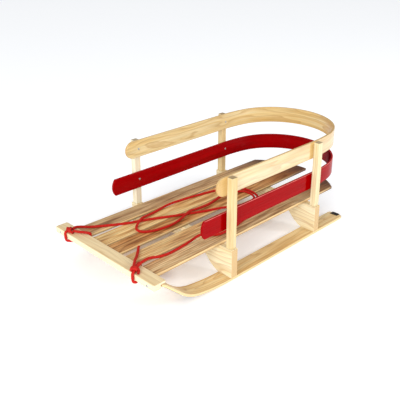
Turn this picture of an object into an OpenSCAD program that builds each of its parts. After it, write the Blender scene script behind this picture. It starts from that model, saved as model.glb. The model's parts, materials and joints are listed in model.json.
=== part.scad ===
// Wooden pull sleigh: two steam-bent runners with steel shoes, two arched
// bolsters, a five-slat deck, a rabbeted front crossbar, four square posts,
// two bent rails and a tied pull rope.
// Frame: front of the sleigh faces -Y, +X is the rider's left, +Z is up.
// The origin is on the ground under the middle of the sleigh.

/* [Overall] */
// Half of the width over the runners and bolsters
half_w = 199; // [160:1:240]
// Front face of the crossbar, distance ahead of the origin
front_y = 419; // [340:1:480]

/* [Runners] */
// Width of each runner strip
runner_w = 48; // [36:1:60]
// Thickness of each runner strip
runner_t = 6.5; // [5:0.5:10]
// Rear end of the runners, distance behind the origin
runner_rear = 337.5; // [280:0.5:400]
// Radius of the long gentle lift in front of the front bolster
lift_r = 648; // [400:1:900]
// Radius of the tight bend of the nose
nose_r = 119; // [80:1:200]
// Slope of the nose where it climbs to the crossbar, degrees
nose_slope = 41.3; // [30:0.1:55]
// Width of the steel shoe under each runner
shoe_w = 24; // [14:1:34]
// Thickness of the steel shoe
shoe_t = 1.5; // [1:0.1:3]
// Length of shoe folded over the rear end of the runner
shoe_hook = 13; // [6:1:30]

/* [Bolsters] */
// Thickness of a bolster, front to back
bolster_t = 22; // [16:1:30]
// Height of a bolster from runner to deck
bolster_h = 80; // [60:1:110]
// Middle of the front bolster, distance ahead of the origin
bolster_front = 155; // [120:1:200]
// Middle of the rear bolster, distance behind the origin
bolster_rear = 197.5; // [150:0.5:240]
// Clear height of the arch above the runner
arch_h = 46.8; // [44:0.2:52]
// Half of the flat middle of the arch
arch_flat = 74; // [60:1:90]

/* [Posts] */
// Width of a post across the sleigh
post_x = 17.5; // [12:0.5:25]
// Width of a post along the sleigh
post_y = 19; // [12:0.5:25]
// Top of the posts above the ground
post_top = 281; // [220:1:340]
// Outer face of the posts from the centre line
post_out = 194.5; // [160:0.5:240]
// Depth of the tenon let into the bolster
tenon_d = 25; // [10:1:40]

/* [Deck] */
// Thickness of the slats
slat_t = 8; // [6:0.5:12]
// Width of each slat, from the rider's right to the left
slat_ws = [54, 52.5, 50, 48, 51.5]; // [40:1:60]
// Middle of each slat at its front end
slat_front_x = [-133.5, -62.7, -2.5, 66.5, 132.7]; // [-170:0.5:170]
// Middle of each slat at its rear end
slat_rear_x = [-129, -69, -12.4, 66, 130.5]; // [-170:0.5:170]
// Radius of the arc that the rear ends follow
deck_arc_r = 225; // [150:1:400]
// Rear end of the middle slat, distance behind the origin
deck_rear = 393; // [320:1:450]

/* [Crossbar] */
// Depth of the crossbar, front to back
bar_d = 36.5; // [25:0.5:50]
// Thickness of the crossbar
bar_t = 16; // [12:0.5:25]
// Depth of the rabbet that takes the slat ends
rabbet_d = 15.5; // [8:0.5:25]
// Corner radius of the crossbar in plan
bar_r = 5; // [2:0.5:18]

/* [Rails] */
// Thickness of the bent rails
rail_t = 6.5; // [4:0.5:10]
// Height of the top rail
top_rail_h = 50; // [30:0.5:70]
// Bottom edge of the top rail above the ground
top_rail_z = 233; // [180:1:300]
// Front end of the top rail, distance ahead of the origin
top_rail_front = 198.5; // [170:0.5:260]
// Height of the lower rail
low_rail_h = 48.5; // [30:0.5:70]
// Bottom edge of the lower rail above the ground
low_rail_z = 140; // [110:1:200]
// Front end of the lower rail, distance ahead of the origin
low_rail_front = 249; // [180:1:320]
// Where the rails start to bend inwards, distance behind the origin
rail_bend_y = 191; // [150:1:260]
// Radius of the gentle part of the rail bend
rail_r1 = 450; // [300:1:700]
// Radius of the tight part of the rail bend
rail_r2 = 172; // [120:1:190]

/* [Fasteners] */
// Head diameter of the round-head screws
head_d = 6.6; // [4:0.1:10]
// Shank diameter of the screws
shank_d = 3.2; // [2:0.1:5]

/* [Rope] */
// Diameter of the pull rope
rope_d = 7; // [4:0.5:10]

/* [Hidden] */

$fn = 64;
wood = [0.91, 0.80, 0.58];
slat_col = [0.70, 0.50, 0.30];
red = [0.62, 0.03, 0.04];
steel = [0.72, 0.72, 0.72];
black = [0.07, 0.06, 0.06];
rope_col = [0.78, 0.10, 0.07];

run_z = shoe_t + runner_t;               // top of the runners
bol_z = run_z + bolster_h;               // top of the bolsters
deck_z = bol_z + slat_t;                 // top of the slats
run_in = half_w - runner_w;
run_mid = half_w - runner_w / 2;
lift_y = -166;                           // the lift starts here
lift_a = 9.5;
rail_out = post_out - post_x;            // outer face of both rails
bar_z0 = deck_z - 10;                    // underside of the crossbar
bar_z1 = bar_z0 + bar_t;
bar_y0 = -front_y;
bar_y1 = bar_y0 + bar_d;
rab_y = bar_y1 - rabbet_d;               // front wall of the rabbet
top_screw_z = top_rail_z + top_rail_h / 2 - 1;
low_screw_z = low_rail_z + low_rail_h / 2 + 2;
bar_screw_z = deck_z - runner_t / 2 - 0.8;
screw_ys = [-bolster_front, bolster_rear];

// ---------------------------------------------------------------- helpers

// A 2D drawing in (y, z) becomes a solid from x0 to x1
module along_x(x0, x1) {
    translate([x0, 0, 0]) rotate([90, 0, 90]) linear_extrude(x1 - x0) children();
}

// A 2D drawing in (x, z) becomes a solid from y0 to y1
module along_y(y0, y1) {
    translate([0, y1, 0]) rotate([90, 0, 0]) linear_extrude(y1 - y0) children();
}

// Points along an arc about c, each with the direction that points away from
// its centre (k = 1) or towards it (k = -1)
function arc(c, r, a0, a1, n, k = 1) =
    [for (i = [0 : n]) let (a = a0 + (a1 - a0) * i / n, u = [cos(a), sin(a)]) [c + r * u, k * u]];

// Outline of a bent strip: the path moved by d0, and back along the path moved by d1
function strip(path, d0, d1) = concat([for (p = path) p[0] + d0 * p[1]],
    [for (i = [len(path) - 1 : -1 : 0]) path[i][0] + d1 * path[i][1]]);

// Side view of the top face of a runner: flat, a gentle lift, a tight nose, a
// straight climb and a flat tip inside the crossbar
lift_c = [lift_y, run_z + lift_r];
nose_p = lift_c - lift_r * [sin(lift_a), cos(lift_a)];
nose_c = nose_p + nose_r * [sin(lift_a), cos(lift_a)];
climb_p = nose_c - nose_r * [sin(nose_slope), cos(nose_slope)];
climb_u = [-cos(nose_slope), sin(nose_slope)];
climb_n = [-sin(nose_slope), -cos(nose_slope)];
tip_r = 12;
tip_len = (deck_z - climb_p[1]) / sin(nose_slope) - tip_r * tan(nose_slope / 2);
tip_c = climb_p + tip_len * climb_u + tip_r * climb_n;
bend_path = concat(arc(lift_c, lift_r, 270, 270 - lift_a, 8),
    [for (p = arc(nose_c, nose_r, 270 - lift_a, 270 - nose_slope, 12)) if (p[0][0] < nose_p[0] - 0.1) p]);
tip_path = concat(arc(tip_c, tip_r, 90 - nose_slope, 90, 6, -1), [[[rab_y, deck_z], [0, -1]]]);

// ---------------------------------------------------------------- runners

module runner_side() {
    polygon(strip(concat([[[runner_rear, run_z], [0, -1]]], bend_path, tip_path), 0, runner_t));
}

module runner() {
    color(wood) difference() {
        intersection() {
            along_x(run_in, half_w) runner_side();
            // the rear corners are rounded
            linear_extrude(200) union() {
                translate([run_in, -500]) square([runner_w, 500 + runner_rear - 9]);
                translate([run_in + 9, 0]) square([runner_w - 18, runner_rear]);
                translate([run_in + 9, runner_rear - 9]) circle(9);
                translate([half_w - 9, runner_rear - 9]) circle(9);
            }
        }
        // the inner corner of the tip is cut back to clear the outer slat
        translate([run_in - 1, -460, 60]) cube([10.5, 88, 60]);
        // pilot hole of the crossbar screw
        translate([run_mid, rab_y - 1, bar_screw_z]) rotate([-90, 0, 0]) cylinder(h = 6, r = shank_d / 2);
    }
}

module shoe_side() {
    fwd = concat(bend_path, [[climb_p + (tip_len - 12) * climb_u, climb_n]]);
    polygon(concat([[runner_rear - shoe_hook, run_z + shoe_t], [runner_rear - shoe_hook, run_z],
        [runner_rear, run_z], [runner_rear, shoe_t]], strip(fwd, runner_t, runner_t + shoe_t),
        [[runner_rear + shoe_t, 0], [runner_rear + shoe_t, run_z + shoe_t]]));
}

module shoe() {
    color(black) along_x(run_mid - shoe_w / 2, run_mid + shoe_w / 2) shoe_side();
}

// ---------------------------------------------------------------- bolsters

// Each side of the arch is an ogee: a cove of radius cove_r that leaves the
// runner at cove_a, then a round shoulder of radius shoulder_r up to the flat
cove_a = 21;
ogee_a = 51;
ogee_w = run_in + 0.2 - arch_flat;
ogee_det = (sin(ogee_a) - sin(cove_a)) * (1 - cos(ogee_a)) - sin(ogee_a) * (cos(cove_a) - cos(ogee_a));
cove_r = (ogee_w * (1 - cos(ogee_a)) - sin(ogee_a) * arch_h) / ogee_det;
shoulder_r = ((sin(ogee_a) - sin(cove_a)) * arch_h - (cos(cove_a) - cos(ogee_a)) * ogee_w) / ogee_det;
arch_z = run_z + arch_h;
ogee_z = arch_z - shoulder_r * (1 - cos(ogee_a));
cove_c = [run_in + 0.2 + cove_r * sin(cove_a), run_z + cove_r * cos(cove_a)];
arch_half = concat([for (p = arc(cove_c, cove_r, 270 - cove_a, 270 - ogee_a, 8)) p[0]],
    [for (p = arc([arch_flat, arch_z - shoulder_r], shoulder_r, 90 - ogee_a, 90, 10)) if (p[0][1] > ogee_z + 0.1) p[0]]);
module arch() {
    n = len(arch_half);
    polygon(concat([[run_in + 0.2, run_z - 6]], arch_half,
        [for (i = [n - 1 : -1 : 0]) [-arch_half[i][0], arch_half[i][1]]], [[-run_in - 0.2, run_z - 6]]));
}

module bolster(y) {
    color(wood) difference() {
        along_y(y - bolster_t / 2, y + bolster_t / 2) difference() {
            translate([-half_w, run_z]) square([2 * half_w, bolster_h]);
            arch();
        }
        for (s = [-1, 1])
            translate([s * (post_out - post_x / 2) - 5.5, y - 6, bol_z - tenon_d]) cube([11, 12, tenon_d + 1]);
    }
}

// ---------------------------------------------------------------- posts

module post(side, y) {
    cx = side * (post_out - post_x / 2);
    color(wood) difference() {
        union() {
            translate([cx - post_x / 2, y - post_y / 2, bol_z]) cube([post_x, post_y, post_top - bol_z]);
            translate([cx - 5.5, y - 6, bol_z - tenon_d]) cube([11, 12, tenon_d]);
        }
        for (z = [top_screw_z, low_screw_z])
            translate([side * (rail_out - 1), y, z]) rotate([0, side * 90, 0]) cylinder(h = 13, r = shank_d / 2);
    }
}

// ---------------------------------------------------------------- deck

module slat(i) {
    w = slat_ws[i];
    a = slat_front_x[i];
    b = slat_rear_x[i];
    color(slat_col) translate([0, 0, bol_z]) linear_extrude(slat_t) intersection() {
        polygon([[a - w / 2, rab_y], [a + w / 2, rab_y], [b + w / 2, deck_rear], [b - w / 2, deck_rear]]);
        union() {
            translate([-half_w, -500]) square([2 * half_w, 500 + deck_rear - deck_arc_r]);
            translate([0, deck_rear - deck_arc_r]) circle(deck_arc_r, $fn = 160);
        }
    }
}

// ---------------------------------------------------------------- crossbar

module crossbar() {
    color(wood) difference() {
        translate([0, 0, bar_z0]) linear_extrude(bar_t) union() {
            translate([-half_w + bar_r, bar_y0]) square([2 * (half_w - bar_r), bar_d]);
            translate([-half_w, bar_y0 + bar_r]) square([2 * half_w, bar_d - 2 * bar_r]);
            for (s = [-1, 1], y = [bar_y0 + bar_r, bar_y1 - bar_r])
                translate([s * (half_w - bar_r), y]) circle(bar_r);
        }
        translate([-half_w - 1, rab_y, bar_z0 - 1]) cube([2 * half_w + 2, rabbet_d + 1, deck_z - bar_z0 + 1]);
        for (s = [-1, 1])
            translate([s * run_mid, bar_y0 - 1, bar_screw_z]) rotate([-90, 0, 0]) cylinder(h = 30, r = shank_d / 2 + 0.3);
    }
}

// ---------------------------------------------------------------- rails

// Plan of a bent rail whose bend starts at y0: straight sides, a gentle arc on
// each side and a tight arc across the back
rail_q = rail_r1 - rail_r2;
rail_a = acos((rail_r1 - rail_out) / rail_q);
function rail_half(y0) = concat([[[rail_out, -300], [1, 0]]],
    arc([rail_out - rail_r1, y0], rail_r1, 0, rail_a, 4),
    [for (p = arc([0, y0 + rail_q * sin(rail_a)], rail_r2, rail_a, 90, 24)) if (p[0][1] > y0 + rail_r1 * sin(rail_a) + 0.1) p]);
function rail_path(y0) = let (h = rail_half(y0), n = len(h)) concat(h,
    [for (i = [n - 2 : -1 : 0]) [[-h[i][0][0], h[i][0][1]], [-h[i][1][0], h[i][1][1]]]]);

module rail(y0, z, h, front, r) {
    difference() {
        intersection() {
            translate([0, 0, z]) linear_extrude(h) polygon(strip(rail_path(y0), 0, -rail_t));
            // side view: the front ends are cut to an arc over the full height
            let (a = asin(h / 2 / r)) along_x(-half_w, half_w) polygon(concat([[900, z], [900, z + h]],
                [for (p = arc([-front + r, z + h / 2], r, 180 - a, 180 + a, 20)) p[0]]));
        }
        for (s = [-1, 1], y = screw_ys)
            translate([s * (rail_out - rail_t - 1), y, z == top_rail_z ? top_screw_z : low_screw_z])
                rotate([0, s * 90, 0]) cylinder(h = rail_t + 2, r = shank_d / 2 + 0.3);
    }
}

// ---------------------------------------------------------------- fasteners

// Round-head screw: the head sits on the face at z = 0 and the shank goes down
module screw(len) {
    rotate_extrude($fn = 48) union() {
        intersection() {
            translate([0, -head_d * 0.32]) circle(head_d * 0.594);
            square([head_d / 2, head_d * 0.4]);
        }
        translate([0, -len]) square([shank_d / 2, len + 0.5]);
    }
}

module rail_screws(z) {
    color(steel) for (s = [-1, 1], y = screw_ys)
        translate([s * (rail_out - rail_t), y, z]) rotate([0, -s * 90, 0]) screw(rail_t + 12);
}

module bar_screws() {
    color(steel) for (s = [-1, 1])
        translate([s * run_mid, bar_y0, bar_screw_z]) rotate([90, 0, 0]) screw(rab_y - bar_y0 + 5);
}

// ---------------------------------------------------------------- rope

// Centre line of the rope from the right-hand knot to the left-hand knot
rope_route = [
    [-145, -402, 107.5], [-149.5, -388, 106.3], [-147, -372, 102.5], [-139, -357, 99.5], [-114, -322, 99.5], [-87, -276, 99.5],
    [-60, -214, 99.5], [-33, -161, 99.5], [-13, -119, 99.5], [9, -72, 99.5], [31, -18, 99.5], [45, 1, 99.5],
    [52, 20, 99.5], [55, 42, 99.5], [55.5, 62, 99.5], [54, 78, 99.5], [48, 91, 99.5], [35, 101, 99.5],
    [17, 106, 99.5], [0, 105, 99.5], [-14, 92, 99.5], [-25, 60, 99.5], [-27, 30, 99.5], [-20, -5, 99.5],
    [-14, -40, 99.5], [-12, -86, 103], [-10, -112, 106.5], [-5, -136, 103.5], [2, -170, 99.5], [5, -205, 99.5],
    [-5, -253, 99.5], [-17, -271, 99.5], [-31, -277, 99.5], [-45, -272, 99.5], [-57, -258, 102.5], [-68, -235, 106.5],
    [-78, -204, 102], [-84, -176, 99.5], [-93, -120, 99.5], [-88, -60, 99.5], [-72, 26, 99.5], [-60, 66, 99.5],
    [-36, 103, 99.5], [-14, 118, 99.5], [8, 119, 99.5], [33, 114, 99.5], [57, 98, 99.5], [76, 66, 99.5],
    [98, 14, 99.5], [118, -36, 99.5], [129.5, -87, 99.5], [131.5, -120, 99.5], [128, -145, 99.5], [113, -160, 99.5],
    [100, -171, 99.5], [98, -184, 99.5], [104, -218, 99.5], [109, -255, 99.5], [110.5, -273, 99.5], [111.5, -290, 99.5],
    [110.5, -306, 99.5], [108, -320, 99.7], [105, -333, 101], [103, -344, 103.5], [103.5, -356, 106], [107, -371, 108],
    [110.5, -385, 108.8], [117, -400, 108.5]];
// Each tied end passes round the crossbar and up between two slats
loop_left = [
    [123, -411, 108], [127, -418.5, 106.5], [127.7, -422, 103.4], [128, -422.8, 99], [129, -422.6, 86.5], [130, -421.6, 83.6],
    [133, -417.5, 82.4], [106, -382, 82.3], [102.5, -379, 84.5], [102, -378.7, 97], [102, -379.2, 103], [104, -387, 105.5],
    [113, -402, 107.5]];
loop_right = [
    [-144, -409, 107.5], [-146.5, -418, 106.4], [-146.7, -422, 103.4], [-146.5, -422.8, 99], [-144.5, -422.6, 86.5], [-142, -421.6, 83.6],
    [-137.5, -417.5, 82.4], [-105, -381.5, 82.3], [-100.5, -379, 84.5], [-99, -378.7, 97], [-100, -379.2, 103.8], [-105, -385, 106],
    [-134, -406, 107.5]];
tail_left = [
    [110, -405, 107.5], [97, -392, 107], [86, -381, 106], [72, -366, 101.5], [54, -348, 99.5], [35, -329, 99.5]];

function unit(v) = v / norm(v);
function tangent(p, i) = unit(i == 0 ? p[1] - p[0] : i == len(p) - 1 ? p[i] - p[i - 1]
    : unit(p[i + 1] - p[i]) + unit(p[i] - p[i - 1]));
function side_of(t) = unit(abs(t[2]) > 0.8 ? cross(t, [1, 0, 0]) : cross(t, [0, 0, 1]));
// The side vector is carried along the route so that the tube never twists
function frames(p, i, s) = i == len(p) ? [] :
    let (t = tangent(p, i), n = unit(s - (s * t) * t)) concat([[p[i], n, cross(t, n)]], frames(p, i + 1, n));
function ring(f, r, n) = [for (k = [0 : n - 1]) f[0] + r * (cos(360 * k / n) * f[1] + sin(360 * k / n) * f[2])];
module tube(p, d, n = 8) {
    fr = frames(p, 0, side_of(tangent(p, 0)));
    m = len(p);
    pts = [for (f = fr) each ring(f, d / 2, n)];
    sides = [for (i = [0 : m - 2], k = [0 : n - 1])
        [i * n + k, (i + 1) * n + k, (i + 1) * n + (k + 1) % n, i * n + (k + 1) % n]];
    polyhedron(pts, concat([[for (k = [0 : n - 1]) k]], sides, [[for (k = [n - 1 : -1 : 0]) (m - 1) * n + k]]), convexity = 8);
}

module rope() {
    color(rope_col) tube(rope_route, rope_d, 8);
}

module knot_lump(a, b, r) {
    difference() {
        hull() {
            translate(a) sphere(r, $fn = 20);
            translate(b) sphere(r, $fn = 20);
        }
        translate([a[0] - 60, bar_y0 - 20, bar_z1 - 30]) cube([120, 80, 30]);
    }
}

module knot_left() {
    color(rope_col) {
        knot_lump([117, -410, bar_z1 + 5], [134, -410, bar_z1 + 4.5], 8);
        tube(loop_left, rope_d, 8);
        tube(tail_left, rope_d, 8);
    }
}

module knot_right() {
    color(rope_col) {
        knot_lump([-150, -411, bar_z1 + 5], [-141, -412, bar_z1 + 4.5], 8);
        tube(loop_right, rope_d, 8);
    }
}

// ---------------------------------------------------------------- assembly

runner();  // runner_left
mirror([1, 0, 0]) runner();  // runner_right
shoe();  // runner_shoe_left
mirror([1, 0, 0]) shoe();  // runner_shoe_right
bolster(-bolster_front);
bolster(bolster_rear);
post(1, -bolster_front);  // post_front_left
post(-1, -bolster_front);  // post_front_right
post(1, bolster_rear);  // post_rear_left
post(-1, bolster_rear);  // post_rear_right
slat(0);  // slat_1
slat(1);  // slat_2
slat(2);  // slat_3
slat(3);  // slat_4
slat(4);  // slat_5
crossbar();  // front_crossbar
color(wood) rail(rail_bend_y, top_rail_z, top_rail_h, top_rail_front, top_rail_h / 2);  // top_rail
color(red) rail(rail_bend_y + 4, low_rail_z, low_rail_h, low_rail_front, 37);  // lower_rail
rail_screws(top_screw_z);  // top_rail_screws
rail_screws(low_screw_z);  // lower_rail_screws
bar_screws();  // crossbar_screws
rope();  // pull_rope
knot_left();  // rope_knot_left
knot_right();  // rope_knot_right
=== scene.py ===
import bpy, bmesh, json, math, random
from mathutils import Vector, Matrix

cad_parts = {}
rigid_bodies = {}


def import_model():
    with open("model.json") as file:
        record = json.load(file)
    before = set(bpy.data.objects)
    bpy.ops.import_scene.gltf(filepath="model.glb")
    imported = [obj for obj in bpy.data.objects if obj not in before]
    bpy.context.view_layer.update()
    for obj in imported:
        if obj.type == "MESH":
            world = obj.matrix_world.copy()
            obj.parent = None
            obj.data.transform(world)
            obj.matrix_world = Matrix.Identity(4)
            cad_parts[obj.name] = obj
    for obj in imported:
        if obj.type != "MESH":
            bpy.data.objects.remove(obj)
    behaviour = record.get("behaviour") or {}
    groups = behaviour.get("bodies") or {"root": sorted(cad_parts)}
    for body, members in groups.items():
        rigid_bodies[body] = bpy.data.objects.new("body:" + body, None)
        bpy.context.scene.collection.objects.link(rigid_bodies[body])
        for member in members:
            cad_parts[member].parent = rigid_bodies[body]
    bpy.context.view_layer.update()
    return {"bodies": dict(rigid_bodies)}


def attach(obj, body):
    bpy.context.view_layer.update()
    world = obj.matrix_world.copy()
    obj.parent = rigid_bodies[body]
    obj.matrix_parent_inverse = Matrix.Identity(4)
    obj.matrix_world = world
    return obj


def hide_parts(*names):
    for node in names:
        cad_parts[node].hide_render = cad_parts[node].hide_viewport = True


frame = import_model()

random.seed(11)
scene = bpy.context.scene
BODY = list(frame["bodies"])[0]
MM = 0.001


def srgb(r, g, b, a=1.0):
    def f(c):
        c /= 255.0
        return c / 12.92 if c <= 0.04045 else ((c + 0.055) / 1.055) ** 2.4
    return (f(r), f(g), f(b), a)


# ------------------------------------------------------------------ camera
AZ, EL, ROLL = math.radians(43.9502), math.radians(21.8327), math.radians(0.7158)
back = Vector((math.sin(AZ) * math.cos(EL), -math.cos(AZ) * math.cos(EL), math.sin(EL)))
right0 = Vector((math.cos(AZ), math.sin(AZ), 0))
up0 = back.cross(right0)
right = right0 * math.cos(ROLL) + up0 * math.sin(ROLL)
up = -right0 * math.sin(ROLL) + up0 * math.cos(ROLL)
S = 0.9
target = Vector((0, 165, 245.216)) + back * 1891.2755
place = Vector((target.x * S, (target.y - 184.5) * S, target.z * S + 8)) * MM
cam_data = bpy.data.cameras.new("camera")
cam_data.sensor_width = 36
cam_data.lens = 613.167 / 400 * 36
cam_data.shift_x = -(216.88 - 200) / 400
cam_data.shift_y = (161.99 - 200) / 400
cam_data.clip_start, cam_data.clip_end = 0.05, 50
camera = bpy.data.objects.new("camera", cam_data)
scene.collection.objects.link(camera)
m = Matrix((right, up, back)).transposed().to_4x4()
m.translation = place
camera.matrix_world = m
scene.camera = camera


# ------------------------------------------------------------------ node helpers
class Nodes:
    def __init__(self, name):
        self.mat = bpy.data.materials.new(name)
        self.mat.use_nodes = True
        self.nt = self.mat.node_tree
        self.nt.nodes.clear()
        self.out = self.new("ShaderNodeOutputMaterial")
        self.bsdf = self.new("ShaderNodeBsdfPrincipled")
        self.link(self.bsdf.outputs[0], self.out.inputs[0])

    def new(self, kind, **kw):
        n = self.nt.nodes.new(kind)
        for k, v in kw.items():
            setattr(n, k, v)
        return n

    def link(self, a, b):
        self.nt.links.new(a, b)

    def put(self, sock, v):
        if isinstance(v, bpy.types.NodeSocket):
            self.link(v, sock)
        elif v is not None:
            sock.default_value = v

    def attr(self, name):
        return self.new("ShaderNodeAttribute", attribute_name=name)

    def math(self, op, a, b=None, c=None, clamp=False):
        n = self.new("ShaderNodeMath", operation=op, use_clamp=clamp)
        for i, v in enumerate((a, b, c)):
            if v is not None:
                self.put(n.inputs[i], v)
        return n.outputs[0]

    def vmul(self, v, xyz):
        n = self.new("ShaderNodeVectorMath", operation="MULTIPLY")
        self.put(n.inputs[0], v)
        n.inputs[1].default_value = xyz
        return n.outputs[0]

    def vadd(self, v, w):
        n = self.new("ShaderNodeVectorMath", operation="ADD")
        self.put(n.inputs[0], v)
        self.put(n.inputs[1], w)
        return n.outputs[0]

    def split(self, v):
        n = self.new("ShaderNodeSeparateXYZ")
        self.link(v, n.inputs[0])
        return n.outputs

    def join(self, x, y, z):
        n = self.new("ShaderNodeCombineXYZ")
        for i, v in enumerate((x, y, z)):
            self.put(n.inputs[i], v)
        return n.outputs[0]

    def noise(self, v, scale=1.0, detail=2.0, rough=0.5, dist=0.0):
        n = self.new("ShaderNodeTexNoise")
        self.link(v, n.inputs["Vector"])
        n.inputs["Scale"].default_value = scale
        n.inputs["Detail"].default_value = detail
        n.inputs["Roughness"].default_value = rough
        n.inputs["Distortion"].default_value = dist
        return n.outputs["Fac"]

    def ramp(self, f, stops, mode="LINEAR"):
        n = self.new("ShaderNodeValToRGB")
        n.color_ramp.interpolation = mode
        e = n.color_ramp.elements
        while len(e) > 1:
            e.remove(e[-1])
        e[0].position, e[0].color = stops[0][0], stops[0][1]
        for p, c in stops[1:]:
            k = e.new(p)
            k.color = c
        self.link(f, n.inputs[0])
        return n.outputs[0]

    def mix(self, f, a, b, blend="MIX"):
        n = self.new("ShaderNodeMix", data_type="RGBA", blend_type=blend)
        self.put(n.inputs[0], f)
        self.put(n.inputs[6], a)
        self.put(n.inputs[7], b)
        return n.outputs[2]

    def bump(self, h, strength=0.3, dist=0.0005, normal=None):
        n = self.new("ShaderNodeBump")
        n.inputs["Strength"].default_value = strength
        n.inputs["Distance"].default_value = dist
        self.link(h, n.inputs["Height"])
        if normal is not None:
            self.link(normal, n.inputs["Normal"])
        return n.outputs[0]

    def maprange(self, v, a, b, c, d):
        n = self.new("ShaderNodeMapRange")
        self.put(n.inputs[0], v)
        for i, x in enumerate((a, b, c, d)):
            n.inputs[i + 1].default_value = x
        return n.outputs[0]


def grey(v):
    return (v, v, v, 1)


def rail_painted_light_masks(n, late=0.0):
    """Masks for painted light and shade on a bent rail: the outer face by the left side (painted light), the inner face
    of the left rear bend (painted shade), and the strips of the outer face just ahead of the left posts (painted post
    shadows)."""
    ox, oy, _ = n.split(n.new("ShaderNodeTexCoord").outputs["Object"])
    face = n.attr("out").outputs["Fac"]
    outer = n.math("MULTIPLY", n.maprange(face, 0.3, 0.8, 0.0, 1.0), n.maprange(ox, 0.02, 0.06, 0.0, 1.0))
    painted_shade_inner = n.math("MULTIPLY", n.maprange(face, -0.8, -0.3, 1.0, 0.0), n.maprange(ox, 0.06, 0.11, 0.0, 1.0))
    painted_shade_inner = n.math("MULTIPLY", painted_shade_inner, n.maprange(oy, 0.21, 0.27, 0.0, 1.0))
    # painted post shadows: strips of the outer face just ahead of the front and rear left posts
    b1 = n.math("MULTIPLY", n.maprange(oy, -0.186 - late * 4, -0.182 - late * 4, 0.0, 1.0), n.maprange(oy, -0.160, -0.155, 1.0, 0.0))
    b2 = n.math("MULTIPLY", n.maprange(oy, 0.160 + late, 0.164 + late, 0.0, 1.0), n.maprange(oy, 0.200, 0.205, 1.0, 0.0))
    return outer, painted_shade_inner, n.math("MULTIPLY", outer, n.math("MAXIMUM", b1, b2))


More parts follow.
